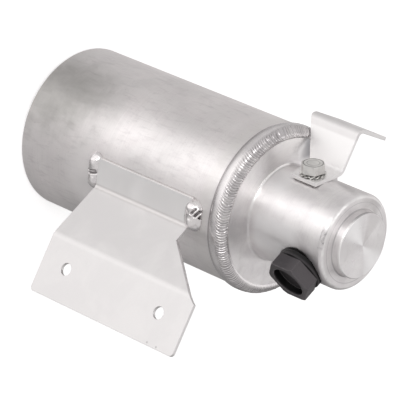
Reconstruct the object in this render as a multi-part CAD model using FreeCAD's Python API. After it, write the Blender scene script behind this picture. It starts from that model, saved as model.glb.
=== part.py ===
import FreeCAD, Part
import math
import os

# Receiver drier of a vehicle refrigeration circuit: a drawn aluminium tank closed by a
# machined head, with one sheet bracket welded to the tank and one bolted to the head.
# The tank axis is Z, the base stands on z = 0 and the head is up.  -Y is the side that
# the tank bracket's fixing flange faces.  Millimetres and degrees throughout.

V = FreeCAD.Vector
UP = V(0, 0, 1)

# Tank
tank_radius = 44.45
tank_wall = 2.6
tank_base = 3.4
tank_length = 143.0
base_edge_radius = 2.4
base_inner_radius = 4.0

# Head, its heights counted up from the tank's open end
head_flange_height = 6.5
head_flange_face_radius = 40.6
head_shoulder_height = 1.4
spigot_length = 8.0
spigot_clearance = 0.1
spigot_lead = 1.0
spigot_wall = 6.0
dish_short_of_joint = 2.0
pickup_boss_wall = 5.0
neck_radius = 25.7
neck_height = 50.1
neck_root_fillet = 1.4
neck_edge_radius = 2.3
disc_radius = 17.6
disc_height = 5.1
disc_edge_bevel = 0.5

# Girth weld, a bead over the joint of tank and head
weld_toe_below_joint = 2.9
weld_side_crown = 1.25
weld_side_lift = 0.8
weld_waist_crown = 0.94
weld_waist_height = 1.0
weld_face_crown = 2.0
weld_face_cover = 0.45

# Ports in the neck, each closed by a hexagon plug
inlet_angle = -28.5
inlet_below_neck_top = 16.3
outlet_angle = 95.0
outlet_below_neck_top = 27.8
port_face_distance = 24.2
port_thread_radius = 8.6
port_depth = 12.0
port_seat_radius = 13.1
passage_radius = 3.6
cross_passage_radius = 3.1
inlet_passage_offset = 16.4
plug_collar_radius = 12.6
plug_collar_height = 3.3
plug_hex_flats = 23.0
plug_hex_height = 8.3
plug_hex_turn = 31.2
plug_stem_length = 9.0
plug_stem_clearance = 0.15
plug_wall = 2.4
plug_pocket_depth = 4.2
plug_chamfer = 0.8
plug_collar_bevel = 0.5
plug_groove_below_seat = 0.4
seal_wire = 0.9

# Tank bracket, one sheet bent twice and welded by its strip to the tank
sheet_thickness = 2.0
bend_inside_radius = 2.6
foot_bend_inside_radius = 6.0
strip_angle = -66.5
strip_above = 7.5
strip_width = 16.2
web_angle = -28.0
web_length = 35.0
foot_width = 31.4
strip_below_joint = 14.8
strip_length = 67.4
foot_above_strip = 35.8
flare_start = 34.2
flare_end = 59.8
foot_corner_radius = 2.4
foot_hole_radius = 3.3
foot_hole_inset = 17.3
foot_hole_low = 17.6
foot_hole_spacing = 66.9

# Bracket welds, one at each end of the strip
lower_lump_width = 9.2
lower_lump_height = 3.2
lower_lump_from = -73.0
lower_lump_to = -58.5
lower_lump_over_strip = 1.0
upper_lump_width = 12.0
upper_lump_height = 4.2
upper_lump_from = -67.5
upper_lump_to = -61.0
upper_lump_over_strip = 5.0

# Head bracket, one sheet bent twice and bolted to the neck
seat_angle = -147.5
seat_near = 7.0
seat_length = 20.6
riser_heading = 180.0
riser_length = 23.4
arm_heading = 94.4
arm_width = 21.8
head_bend_radius = 3.0
arm_bend_radius = 2.6
head_bracket_above_bolt = 8.4
low_edge_slope = 25.7
low_edge_over_weld = 1.0
arm_hole_radius = 3.3
arm_hole_inset = 10.0

# Bolt and washer of the head bracket
bolt_above_flange = 20.1
bolt_flats = 11.1
bolt_head_height = 5.0
bolt_head_chamfer = 0.7
bolt_shank_radius = 3.1
bolt_length = 13.0
bolt_hex_turn = -10.0
bolt_hole_clearance = 0.3
tapped_depth_spare = 3.0
washer_radius = 6.9
washer_thickness = 1.5

# Inside the tank
pickup_radius = 6.0
pickup_wall = 1.0
pickup_foot = 10.0
pickup_insert = 9.0
pickup_clearance = 0.15
lower_plate_height = 26.0
plate_thickness = 1.2
plate_skirt_gap = 0.6
plate_hole_radius = 2.2
plate_hole_rings = (13.5, 22.5, 31.5)
plate_hole_count = 8
plate_hole_count_step = 6
pad_thickness = 5.0
pad_gap = 0.3
spring_wire = 1.3
spring_radius = 30.0
spring_height = 25.8
spring_climb_count = 5
strainer_radius = 10.0
strainer_wall = 0.8
strainer_height = 14.0
strainer_ring = 2.0
strainer_window_count = 6
strainer_window_width = 6.0
strainer_below_foot = 4.0
gauze_thickness = 0.4

os.makedirs("parts", exist_ok=True)


def polar(angle, radius=1.0, height=0.0):
    a = math.radians(angle)
    return V(radius * math.cos(a), radius * math.sin(a), height)


def turned(profile):
    """Solid of revolution about Z from a closed (radius, height) outline."""
    wire = Part.makePolygon([V(r, 0, z) for r, z in profile + profile[:1]])
    return Part.Face(wire).revolve(V(0, 0, 0), UP, 360)


def tube(outer, inner, low, high):
    body = Part.makeCylinder(outer, high - low, V(0, 0, low))
    return body.cut(Part.makeCylinder(inner, high - low, V(0, 0, low)))


def ring_edges(shape, radius, height):
    """Full circles about Z of one radius at one height."""
    found = []
    for edge in shape.Edges:
        curve = edge.Curve
        if isinstance(curve, Part.Circle) and abs(curve.Radius - radius) < 1e-4:
            centre = curve.Center
            if abs(centre.z - height) < 1e-4 and math.hypot(centre.x, centre.y) < 1e-4:
                found.append(edge)
    return found


def hexagon(flats, height, base, axis, turn):
    """Hexagonal prism on a radial axis; turn is measured from the tangent towards Z."""
    corner = flats / 2.0 / math.cos(math.radians(30))
    side = UP.cross(axis)
    points = []
    for i in range(7):
        a = math.radians(turn + 60 * i)
        points.append(base + side * (corner * math.cos(a)) + UP * (corner * math.sin(a)))
    return Part.Face(Part.makePolygon(points)).extrude(axis * height)


def crowned(prism, flats, height, base, axis, chamfer):
    """Takes the corners off a hexagon's outer end with a 30 degree cone."""
    reach = flats / 2.0 / math.cos(math.radians(30))
    rim = reach - chamfer
    slope = chamfer * math.tan(math.radians(30)) * 2
    cone = Part.makeCone(rim + height / math.tan(math.radians(30)), rim, height, base, axis)
    keep = Part.makeCylinder(reach + 1, height - slope, base, axis)
    return prism.common(cone.fuse(keep))


def sheet_solid(start, headings, lengths, radii, side, low, high):
    """Bent sheet between two heights.

    The outline runs from start along the face that seats, with lengths measured to the
    sharp corners of that face.  side is +1 when the sheet lies left of that face.
    """
    corners = [start]
    for heading, length in zip(headings, lengths):
        corners.append(corners[-1] + polar(heading, length))
    near = []
    far = []
    at_near = corners[0]
    at_far = corners[0] + polar(headings[0] + 90, side * sheet_thickness)
    for i, radius in enumerate(radii):
        turn = headings[i + 1] - headings[i]
        left = 1 if turn > 0 else -1
        half = math.tan(math.radians(abs(turn) / 2.0))
        near_radius = radius
        far_radius = radius + sheet_thickness
        if side == left:
            near_radius = radius + sheet_thickness
            far_radius = radius
        back = near_radius * half
        first = corners[i + 1] - polar(headings[i], back)
        last = corners[i + 1] + polar(headings[i + 1], back)
        centre = first + polar(headings[i] + 90, left * near_radius)
        middle = polar(headings[i] + turn / 2.0 - 90, left)
        near.append(Part.makeLine(at_near, first))
        near.append(Part.Arc(first, centre + middle * near_radius, last).toShape())
        first_far = first + polar(headings[i] + 90, side * sheet_thickness)
        last_far = last + polar(headings[i + 1] + 90, side * sheet_thickness)
        far.append(Part.makeLine(at_far, first_far))
        far.append(Part.Arc(first_far, centre + middle * far_radius, last_far).toShape())
        at_near = last
        at_far = last_far
    end = corners[-1]
    end_far = end + polar(headings[-1] + 90, side * sheet_thickness)
    near.append(Part.makeLine(at_near, end))
    far.append(Part.makeLine(at_far, end_far))
    caps = [
        Part.makeLine(corners[0], corners[0] + polar(headings[0] + 90, side * sheet_thickness)),
        Part.makeLine(end, end_far),
    ]
    wire = Part.Wire(Part.__sortEdges__(near + far + caps))
    face = Part.Face(wire)
    face.translate(V(0, 0, low))
    return face.extrude(V(0, 0, high - low)), corners


def save(name, shape):
    shape = shape.removeSplitter()
    if len(shape.Solids) == 1:
        shape = shape.Solids[0]
    shape.exportStep("parts/%s.step" % name)
    print("%-22s solids %d  volume %.1f  valid %s" % (
        name, len(shape.Solids), shape.Volume, shape.isValid()))
    return shape


# Tank: a drawn cup, its open end squared for the joint
tank_inner = tank_radius - tank_wall
cup = Part.makeCylinder(tank_radius, tank_length)
cup = cup.makeFillet(base_edge_radius, ring_edges(cup, tank_radius, 0))
hollow = Part.makeCylinder(tank_inner, tank_length, V(0, 0, tank_base))
hollow = hollow.makeFillet(base_inner_radius, ring_edges(hollow, tank_inner, tank_base))
tank = cup.cut(hollow)

# Head blank: flange with its weld shoulder, spigot in the tank, neck and raised disc
head_flange_top = tank_length + head_flange_height
neck_top = head_flange_top + neck_height
disc_top = neck_top + disc_height
inlet_height = neck_top - inlet_below_neck_top
outlet_height = neck_top - outlet_below_neck_top
spigot_radius = tank_inner - spigot_clearance
spigot_low = tank_length - spigot_length
shoulder_top = tank_length + head_shoulder_height
pickup_bore = pickup_radius + pickup_clearance
pickup_top = spigot_low + pickup_insert
rise_top = outlet_height + passage_radius
head = turned([
    (pickup_bore, pickup_top),
    (pickup_bore, spigot_low),
    (spigot_radius - spigot_lead, spigot_low),
    (spigot_radius, spigot_low + spigot_lead),
    (spigot_radius, tank_length),
    (tank_radius, tank_length),
    (tank_radius, shoulder_top),
    (head_flange_face_radius, head_flange_top),
    (neck_radius, head_flange_top),
    (neck_radius, neck_top),
    (disc_radius, neck_top),
    (disc_radius, disc_top - disc_edge_bevel),
    (disc_radius - disc_edge_bevel, disc_top),
    (0, disc_top),
    (0, rise_top),
    (passage_radius, rise_top),
    (passage_radius, pickup_top),
])
head = head.makeFillet(neck_root_fillet, ring_edges(head, neck_radius, head_flange_top))
head = head.makeFillet(neck_edge_radius, ring_edges(head, neck_radius, neck_top))

# Underside dished to leave an even wall
dish_radius = spigot_radius - spigot_wall
dish_top = tank_length - dish_short_of_joint
boss_radius = pickup_radius + pickup_boss_wall
head = head.cut(tube(dish_radius, boss_radius, spigot_low, dish_top))

# Ports: a flat seat, a threaded bore and the passage that each leads to
port_bottom = port_face_distance - port_depth
for angle, height in ((inlet_angle, inlet_height), (outlet_angle, outlet_height)):
    axis = polar(angle)
    seat = axis * port_face_distance + UP * height
    head = head.cut(Part.makeCylinder(port_seat_radius, neck_radius, seat, axis))
    start = axis * port_bottom + UP * height
    head = head.cut(Part.makeCylinder(port_thread_radius, port_depth, start, axis))
drop = polar(inlet_angle, inlet_passage_offset, dish_top)
head = head.cut(Part.makeCylinder(passage_radius, inlet_height - dish_top, drop))
cross_start = UP * outlet_height - polar(outlet_angle, cross_passage_radius * 0.5)
cross = Part.makeCylinder(cross_passage_radius, port_bottom + cross_passage_radius,
                          cross_start, polar(outlet_angle))
head = head.cut(cross)

# Tapped hole for the bracket bolt
seat_axis = polar(seat_angle)
bolt_height = head_flange_top + bolt_above_flange
bolt_foot = sheet_thickness + washer_thickness
tapped_depth = bolt_length - bolt_foot + tapped_depth_spare
tap_start = seat_axis * (neck_radius - tapped_depth) + UP * bolt_height
head = head.cut(Part.makeCylinder(bolt_shank_radius, tapped_depth + 1.0, tap_start, seat_axis))

# Girth weld: a bead from its toe on the tank over the joint to its toe on the flange face
toe_low = tank_length - weld_toe_below_joint
face_mid = V((tank_radius + head_flange_face_radius) / 2.0, 0,
             (shoulder_top + head_flange_top) / 2.0)
slant = V(head_flange_top - shoulder_top, 0, tank_radius - head_flange_face_radius).normalize()
side_crown = V(tank_radius + weld_side_crown, 0,
               (toe_low + shoulder_top) / 2.0 + weld_side_lift)
waist = V(tank_radius + weld_waist_crown, 0, shoulder_top + weld_waist_height)
crest = face_mid + slant * weld_face_crown
bead_edges = [
    Part.Arc(V(tank_radius, 0, toe_low), side_crown, waist).toShape(),
    Part.Arc(waist, crest,
             V(head_flange_face_radius, 0, head_flange_top + weld_face_cover)).toShape(),
    Part.makeLine(V(head_flange_face_radius, 0, head_flange_top + weld_face_cover),
                  V(head_flange_face_radius, 0, head_flange_top)),
    Part.makeLine(V(head_flange_face_radius, 0, head_flange_top),
                  V(tank_radius, 0, shoulder_top)),
    Part.makeLine(V(tank_radius, 0, shoulder_top), V(tank_radius, 0, toe_low)),
]
girth_weld = Part.Face(Part.Wire(bead_edges)).revolve(V(0, 0, 0), UP, 360)

# Tank bracket: strip against the tank, web leaning out, foot parallel to the fixing plane
strip_high = tank_length - strip_below_joint
bracket_low = strip_high - strip_length
bracket_high = strip_high + foot_above_strip
strip_heading = strip_angle + 90
strip_start = polar(strip_angle, tank_radius) - polar(strip_heading, strip_above)
tank_bracket, bend_points = sheet_solid(
    strip_start, [strip_heading, web_angle, 0.0], [strip_width, web_length, foot_width],
    [bend_inside_radius, foot_bend_inside_radius], -1, bracket_low, bracket_high)
foot_end = bend_points[3].x
foot_face = bend_points[3].y - sheet_thickness
flare = Part.Face(Part.makePolygon([
    V(0, 0, strip_high),
    V(flare_start, 0, strip_high),
    V(flare_end, 0, bracket_high),
    V(flare_end, 0, bracket_high + 1),
    V(0, 0, bracket_high + 1),
    V(0, 0, strip_high),
])).extrude(V(0, -3 * tank_radius, 0))
tank_bracket = tank_bracket.cut(flare)
corner_edges = []
for edge in tank_bracket.Edges:
    middle = edge.CenterOfMass
    across = abs(edge.tangentAt(edge.FirstParameter).y) > 0.99
    at_end = min(abs(middle.z - bracket_low), abs(middle.z - bracket_high)) < 1e-3
    if across and at_end and edge.Length < 1.5 * sheet_thickness and middle.x > foot_end - 1e-3:
        corner_edges.append(edge)
tank_bracket = tank_bracket.makeFillet(foot_corner_radius, corner_edges)
hole_x = foot_end - foot_hole_inset
hole_z = [bracket_low + foot_hole_low, bracket_low + foot_hole_low + foot_hole_spacing]
for z in hole_z:
    drill_start = V(hole_x, foot_face - sheet_thickness, z)
    drill = Part.makeCylinder(foot_hole_radius, 3 * sheet_thickness, drill_start, V(0, 1, 0))
    tank_bracket = tank_bracket.cut(drill)

# Bracket welds: a rounded lump along each end of the strip
def strip_lump(width, rise, angle_from, angle_to, height):
    radius = (rise ** 2 + (width / 2.0) ** 2) / (2.0 * rise)
    ring = tank_radius + rise - radius
    swept = angle_to - angle_from
    lump = Part.makeTorus(ring, radius, V(0, 0, height), UP, -180, 180, swept)
    lump.rotate(V(0, 0, 0), UP, angle_from)
    for angle in (angle_from, angle_to):
        lump = lump.fuse(Part.makeSphere(radius, polar(angle, ring, height)))
    lump = lump.cut(Part.makeCylinder(tank_radius, tank_length))
    return lump.cut(tank_bracket)


lower_weld = strip_lump(lower_lump_width, lower_lump_height, lower_lump_from, lower_lump_to,
                        bracket_low - lower_lump_width / 2.0 + lower_lump_over_strip)
upper_weld = strip_lump(upper_lump_width, upper_lump_height, upper_lump_from, upper_lump_to,
                        strip_high + upper_lump_width / 2.0 - upper_lump_over_strip)

# Head bracket: seat on the neck, riser and arm
head_bracket_high = bolt_height + head_bracket_above_bolt
seat_heading = seat_angle - 90 + 360
seat_start = polar(seat_angle, neck_radius) - polar(seat_heading, seat_near)
head_bracket, head_points = sheet_solid(
    seat_start, [seat_heading, riser_heading, arm_heading],
    [seat_length, riser_length, arm_width],
    [head_bend_radius, arm_bend_radius], 1, 0, head_bracket_high)
arm_plane = head_points[2].x
edge_rise = math.tan(math.radians(low_edge_slope))
arm_low = crest.z + low_edge_over_weld + (arm_plane + crest.x) * edge_rise
edge_at_axis = arm_low - arm_plane * edge_rise
below_edge = Part.Face(Part.makePolygon([
    V(0, 0, -1),
    V(0, 0, edge_at_axis),
    V(arm_plane, 0, arm_low),
    V(2 * arm_plane, 0, arm_low),
    V(2 * arm_plane, 0, -1),
    V(0, 0, -1),
]))
below_edge.translate(V(0, -2 * neck_radius, 0))
head_bracket = head_bracket.cut(below_edge.extrude(V(0, 4 * neck_radius, 0)))
bolt_hole_radius = bolt_shank_radius + bolt_hole_clearance
seat_drill = seat_axis * neck_radius + UP * bolt_height
head_bracket = head_bracket.cut(
    Part.makeCylinder(bolt_hole_radius, 2 * sheet_thickness, seat_drill, seat_axis))
arm_normal = polar(arm_heading + 90)
arm_mid = head_points[3] - polar(arm_heading, arm_hole_inset)
arm_drill = arm_mid + UP * (arm_low + head_bracket_high) / 2.0 - arm_normal * 2 * sheet_thickness
arm_hole = Part.makeCylinder(arm_hole_radius, 4 * sheet_thickness, arm_drill, arm_normal)
head_bracket = head_bracket.cut(arm_hole)

# Washer and bolt
washer_base = seat_axis * (neck_radius + sheet_thickness) + UP * bolt_height
washer = Part.makeCylinder(washer_radius, washer_thickness, washer_base, seat_axis)
washer = washer.cut(
    Part.makeCylinder(bolt_hole_radius, washer_thickness, washer_base, seat_axis))
bolt_base = washer_base + seat_axis * washer_thickness
bolt_head = hexagon(bolt_flats, bolt_head_height, bolt_base, seat_axis, bolt_hex_turn)
bolt_head = crowned(bolt_head, bolt_flats, bolt_head_height, bolt_base, seat_axis,
                    bolt_head_chamfer)
shank_end = bolt_base - seat_axis * bolt_length
bolt = bolt_head.fuse(Part.makeCylinder(bolt_shank_radius, bolt_length, shank_end, seat_axis))


# Port plugs: hollow hexagon on a round collar, with a threaded stem and a ring seal
def port_plug(angle, height):
    axis = polar(angle)
    seat = axis * port_face_distance + UP * height
    hex_base = seat + axis * plug_collar_height
    bevel_base = hex_base - axis * plug_collar_bevel
    collar = Part.makeCylinder(plug_collar_radius, plug_collar_height - plug_collar_bevel,
                               seat, axis)
    collar = collar.fuse(Part.makeCone(plug_collar_radius, plug_collar_radius - plug_collar_bevel,
                                       plug_collar_bevel, bevel_base, axis))
    head_hex = hexagon(plug_hex_flats, plug_hex_height, hex_base, axis, plug_hex_turn)
    head_hex = crowned(head_hex, plug_hex_flats, plug_hex_height, hex_base, axis, plug_chamfer)
    stem_radius = port_thread_radius - plug_stem_clearance
    stem_end = seat - axis * plug_stem_length
    stem = Part.makeCylinder(stem_radius, plug_stem_length, stem_end, axis)
    body = collar.fuse(head_hex).fuse(stem)
    pocket_radius = plug_hex_flats / 2.0 - plug_wall
    pocket_base = hex_base + axis * (plug_hex_height - plug_pocket_depth)
    body = body.cut(Part.makeCylinder(pocket_radius, plug_pocket_depth + 1, pocket_base, axis))
    ring_at = seat - axis * (seal_wire + plug_groove_below_seat)
    groove_low = ring_at - axis * seal_wire
    groove = Part.makeCylinder(plug_collar_radius, 2 * seal_wire, groove_low, axis)
    groove_floor = stem_radius - 1.5 * seal_wire
    groove = groove.cut(Part.makeCylinder(groove_floor, 2 * seal_wire, groove_low, axis))
    return body.cut(groove), ring_at, axis, stem_radius


def port_seal(ring_at, axis, stem_radius):
    ring = Part.makeTorus(stem_radius - seal_wire * 0.5, seal_wire, ring_at, axis)
    bore = Part.makeCylinder(stem_radius + plug_stem_clearance, 4 * seal_wire,
                             ring_at - axis * 2 * seal_wire, axis)
    return ring.common(bore)


# Pickup tube, with its seal in the head bore
pickup = tube(pickup_radius, pickup_radius - pickup_wall, pickup_foot, pickup_top)
seal_height = spigot_low + pickup_insert * 0.5
tube_seal = Part.makeTorus(pickup_radius + seal_wire, seal_wire, V(0, 0, seal_height))
seal_groove = tube(pickup_radius + 2 * seal_wire, pickup_radius,
                   seal_height - seal_wire, seal_height + seal_wire)
head = head.cut(seal_groove)


# Perforated plates: rings of holes round the pickup tube
def perforate(plate, low):
    for k, ring in enumerate(plate_hole_rings):
        count = plate_hole_count + plate_hole_count_step * k
        for i in range(count):
            centre = polar(360.0 * i / count + 9 * k, ring, low - 1)
            plate = plate.cut(Part.makeCylinder(plate_hole_radius, plate_thickness + 2, centre))
    return plate


plate_radius = tank_inner - plate_skirt_gap
tube_hole = pickup_radius + pickup_clearance
skirt_radius = plate_radius - base_inner_radius
lower_low = lower_plate_height - plate_thickness
lower_plate = tube(plate_radius, tube_hole, lower_low, lower_plate_height)
skirt = tube(skirt_radius, skirt_radius - plate_thickness, tank_base, lower_low)
lower_plate = perforate(lower_plate, lower_low).fuse(skirt)

pad_radius = tank_inner - pad_gap
lower_pad_top = lower_plate_height + pad_thickness
lower_pad = tube(pad_radius, tube_hole, lower_plate_height, lower_pad_top)
upper_plate_top = dish_top - spring_height
upper_pad_top = upper_plate_top - plate_thickness
bed_top = upper_pad_top - pad_thickness
bed = tube(pad_radius, tube_hole, lower_pad_top, bed_top)
upper_pad = tube(pad_radius, tube_hole, bed_top, upper_pad_top)
upper_plate = perforate(tube(plate_radius, tube_hole, upper_pad_top, upper_plate_top), upper_pad_top)

# Spring between the upper plate and the dished underside of the head: half turns that
# climb in turn to either side, with a flat half turn at each end to sit on
def coil_half(side, low, climb):
    start = V(side * spring_radius, 0, low)
    section = Part.Face(Part.Wire(Part.makeCircle(spring_wire, start, V(0, 1, 0))))
    return section.revolve(V(0, 0, low + climb / 2.0), V(side * climb / 2.0, 0, spring_radius), 180)


spring_low = upper_plate_top + spring_wire
spring_high = dish_top - spring_wire
climb = (spring_high - spring_low) / spring_climb_count
side = -1
spring = coil_half(side, spring_low, 0)
for i in range(spring_climb_count):
    side = -side
    spring = spring.fuse(coil_half(side, spring_low + i * climb, climb))
spring = spring.fuse(coil_half(-side, spring_high, 0))

# Strainer on the foot of the pickup tube: a windowed cage with gauze inside it
cage_low = pickup_foot - strainer_below_foot
cage_high = cage_low + strainer_height
cage = Part.makeCylinder(strainer_radius, strainer_height, V(0, 0, cage_low))
cage = cage.cut(Part.makeCylinder(strainer_radius - strainer_wall, strainer_height - 2 * strainer_ring,
                                  V(0, 0, cage_low + strainer_ring)))
window = Part.makeBox(2 * strainer_radius, strainer_window_width,
                      strainer_height - 2 * strainer_ring,
                      V(0, -strainer_window_width / 2.0, cage_low + strainer_ring))
for i in range(strainer_window_count):
    opening = window.copy()
    opening.rotate(V(0, 0, 0), UP, 360.0 * i / strainer_window_count)
    cage = cage.cut(opening)
cage = cage.cut(Part.makeCylinder(pickup_radius, strainer_height, V(0, 0, pickup_foot)))
gauze_radius = strainer_radius - strainer_wall
gauze = tube(gauze_radius, gauze_radius - gauze_thickness,
             cage_low + strainer_ring, cage_high - strainer_ring)

save("tank_shell", tank)
save("head", head)
save("girth_weld", girth_weld)
save("tank_bracket", tank_bracket)
save("bracket_weld_lower", lower_weld)
save("bracket_weld_upper", upper_weld)
save("head_bracket", head_bracket)
save("bolt_washer", washer)
save("bracket_bolt", bolt)
for label, angle, height in (("inlet", inlet_angle, inlet_height),
                             ("outlet", outlet_angle, outlet_height)):
    plug, ring_at, axis, stem_radius = port_plug(angle, height)
    save("%s_plug" % label, plug)
    save("%s_plug_seal" % label, port_seal(ring_at, axis, stem_radius))
save("pickup_tube", pickup)
save("pickup_seal", tube_seal)
save("lower_plate", lower_plate)
save("lower_pad", lower_pad)
save("desiccant_bed", bed)
save("upper_pad", upper_pad)
save("upper_plate", upper_plate)
save("retaining_spring", spring)
save("strainer_cage", cage)
save("strainer_gauze", gauze)
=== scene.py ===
# %% [markdown]
# # Dressing a receiver drier
#
# A receiver drier is the can in a vehicle's refrigeration circuit that stores, filters and
# dries the refrigerant. The imported model already has every part in its place, in metres,
# with the tank standing on z = 0. This lesson gives each part the surface that the real
# one has: brushed aluminium, a rippled weld bead, soft sheet edges, black plugs.
#
# The imported model is loaded first. The dressed object has to stay inside it.

# %% Load the imported model
import math

import bmesh
import bpy
from mathutils import Matrix, Vector, noise


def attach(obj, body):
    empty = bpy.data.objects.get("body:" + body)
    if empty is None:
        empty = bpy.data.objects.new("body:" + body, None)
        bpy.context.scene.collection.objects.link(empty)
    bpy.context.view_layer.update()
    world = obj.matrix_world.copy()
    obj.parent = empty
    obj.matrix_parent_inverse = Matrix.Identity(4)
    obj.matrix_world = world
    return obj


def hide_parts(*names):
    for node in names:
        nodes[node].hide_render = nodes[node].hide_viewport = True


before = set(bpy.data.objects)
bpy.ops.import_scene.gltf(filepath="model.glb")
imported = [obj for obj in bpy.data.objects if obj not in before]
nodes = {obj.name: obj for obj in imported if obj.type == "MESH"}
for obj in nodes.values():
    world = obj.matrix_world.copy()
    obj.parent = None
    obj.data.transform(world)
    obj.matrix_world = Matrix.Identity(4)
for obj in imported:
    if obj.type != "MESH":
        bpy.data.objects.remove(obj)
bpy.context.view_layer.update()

MM = 0.001
# Level axes on the head: direction in degrees, height in millimetres.
INLET = (-28.5, 183.3)
OUTLET = (95.0, 171.8)
BOLT = (-147.5, 169.6)


def heading(angle):
    """Level unit vector at an angle in degrees from X."""
    a = math.radians(angle)
    return Vector((math.cos(a), math.sin(a), 0.0))


def linked(name, data):
    """New object in the scene."""
    made = bpy.data.objects.new(name, data)
    bpy.context.collection.objects.link(made)
    return made


# %% [markdown]
# ## The camera
#
# The view is set in the words a photographer would use: how far round the object, how
# high, how far away, and how much the camera is rolled. The object stands upright in the
# model, but it lies across the picture, so the roll is large. A long lens keeps the
# perspective as weak as it is in the picture.

# %% Camera
VIEW_AZIMUTH = 0.533
VIEW_ELEVATION = 38.647
VIEW_ROLL = 113.408
VIEW_DISTANCE = 1.5576
VIEW_LENS = 267.226
AIM = Vector((0.01133, -0.00131, 0.09850))


def aimed_matrix(aim, azimuth, elevation, distance, roll):
    a, e = math.radians(azimuth), math.radians(elevation)
    back = Vector((-math.sin(a) * math.cos(e), -math.cos(a) * math.cos(e), math.sin(e)))
    level = Vector((0, 0, 1)).cross(back).normalized()
    rise = back.cross(level)
    turn = math.radians(roll)
    right = level * math.cos(turn) + rise * math.sin(turn)
    up = back.cross(right)
    facing = Matrix((right, up, back)).transposed().to_4x4()
    return Matrix.Translation(aim + back * distance) @ facing


camera_data = bpy.data.cameras.new("camera")
camera_data.lens = VIEW_LENS
camera_data.sensor_width = 36.0
camera = linked("camera", camera_data)
camera.matrix_world = aimed_matrix(AIM, VIEW_AZIMUTH, VIEW_ELEVATION, VIEW_DISTANCE, VIEW_ROLL)
bpy.context.scene.camera = camera
bpy.context.scene.view_settings.view_transform = "Standard"
print("camera at", [round(c, 4) for c in camera.location])

# %% [markdown]
# ## Small helpers for node trees
#
# Materials, the world and Geometry Nodes are all node trees. A node is made, its settings
# are given, and its sockets get either a value or a link from another node. These helpers
# do that in one call, so that a tree reads like a list of steps. A socket knows which tree
# it belongs to, so most helpers take sockets alone.

# %% Node helpers
def add(tree, kind, inputs=None, **settings):
    """New node. Each input, by number or name, gets a value or a link."""
    made = tree.nodes.new(kind)
    for key, value in settings.items():
        setattr(made, key, value)
    for key, value in (inputs or {}).items():
        if isinstance(value, bpy.types.NodeSocket):
            tree.links.new(value, made.inputs[key])
        else:
            made.inputs[key].default_value = value
    return made


def tree_of(*values):
    """The tree that the first socket among some values belongs to."""
    return next(v for v in values if isinstance(v, bpy.types.NodeSocket)).id_data


def calc(operation, a, b=0.0):
    return add(tree_of(a, b), "ShaderNodeMath", {0: a, 1: b}, operation=operation).outputs[0]


def plus(first, *rest):
    for value in rest:
        first = calc("ADD", first, value)
    return first


def minus(a, b):
    return calc("SUBTRACT", a, b)


def over(a, b):
    return calc("DIVIDE", a, b)


def times(first, *rest):
    for value in rest:
        first = calc("MULTIPLY", first, value)
    return first


def most(first, *rest):
    for value in rest:
        first = calc("MAXIMUM", first, value)
    return first


def vector(operation, a, b=(0.0, 0.0, 0.0)):
    made = add(tree_of(a, b), "ShaderNodeVectorMath", {0: a, 1: b}, operation=operation)
    return made.outputs["Value" if operation in ("LENGTH", "DOT_PRODUCT") else "Vector"]


def ramp(value, low, high, out_low=0.0, out_high=1.0):
    """Smooth step from one level to another while the value runs from low to high."""
    return add(value.id_data, "ShaderNodeMapRange", {
        "Value": value, "From Min": low, "From Max": high, "To Min": out_low,
        "To Max": out_high}, interpolation_type="SMOOTHSTEP").outputs["Result"]


def mixed(factor, a, b):
    """Colour between a and b; a plain colour has three numbers."""
    full = [value if isinstance(value, bpy.types.NodeSocket) else (*value, 1.0)
            for value in (a, b)]
    return add(tree_of(factor, a, b), "ShaderNodeMix", {0: factor, 6: full[0], 7: full[1]},
               data_type="RGBA").outputs[2]


def combined(x, y, z=0.0):
    return add(tree_of(x, y, z), "ShaderNodeCombineXYZ", {0: x, 1: y, 2: z}).outputs[0]


def object_place(tree):
    return add(tree, "ShaderNodeTexCoord").outputs["Object"]


def xyz(place):
    return add(place.id_data, "ShaderNodeSeparateXYZ", {0: place}).outputs


def axis_distance(place):
    return vector("LENGTH", vector("MULTIPLY", place, (1.0, 1.0, 0.0)))


def noisy(place, scale, **values):
    """Noise round 0.5; extra inputs by their names, such as Detail."""
    return add(place.id_data, "ShaderNodeTexNoise",
               {"Vector": place, "Scale": scale, **values}).outputs["Fac"]


def band(value, low, full_low, full_high, high):
    """Mask that rises from low to full_low and falls from full_high to high."""
    return times(ramp(value, low, full_low), ramp(value, high, full_high))


def apart(a, b):
    return calc("ABSOLUTE", minus(a, b))


def from_level_axis(place, axis):
    """How far points lie along a level axis from the middle line, and how far beside it."""
    angle, height = axis
    out = tuple(heading(angle))
    offset = vector("SUBTRACT", place, (0.0, 0.0, height * MM))
    return (vector("DOT_PRODUCT", offset, out),
            vector("LENGTH", vector("CROSS_PRODUCT", offset, out)))


FLOAT = "NodeSocketFloat"
GEOMETRY = "NodeSocketGeometry"


def group_tree(name, kind, ins, outs):
    """New tree, the sockets that its inputs come from, and those that its results go to. An
    input is declared by its first value, or by its kind where it has none."""
    tree = bpy.data.node_groups.new(name, kind)
    for title, value in ins.items():
        socket = {float: FLOAT, int: "NodeSocketInt"}.get(type(value), value)
        made = tree.interface.new_socket(title, in_out="INPUT", socket_type=socket)
        if socket != value:
            made.default_value = value
    for title, socket in outs.items():
        tree.interface.new_socket(title, in_out="OUTPUT", socket_type=socket)
    return (tree, tree.nodes.new("NodeGroupInput").outputs,
            tree.nodes.new("NodeGroupOutput").inputs)


print("node helpers ready")
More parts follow.
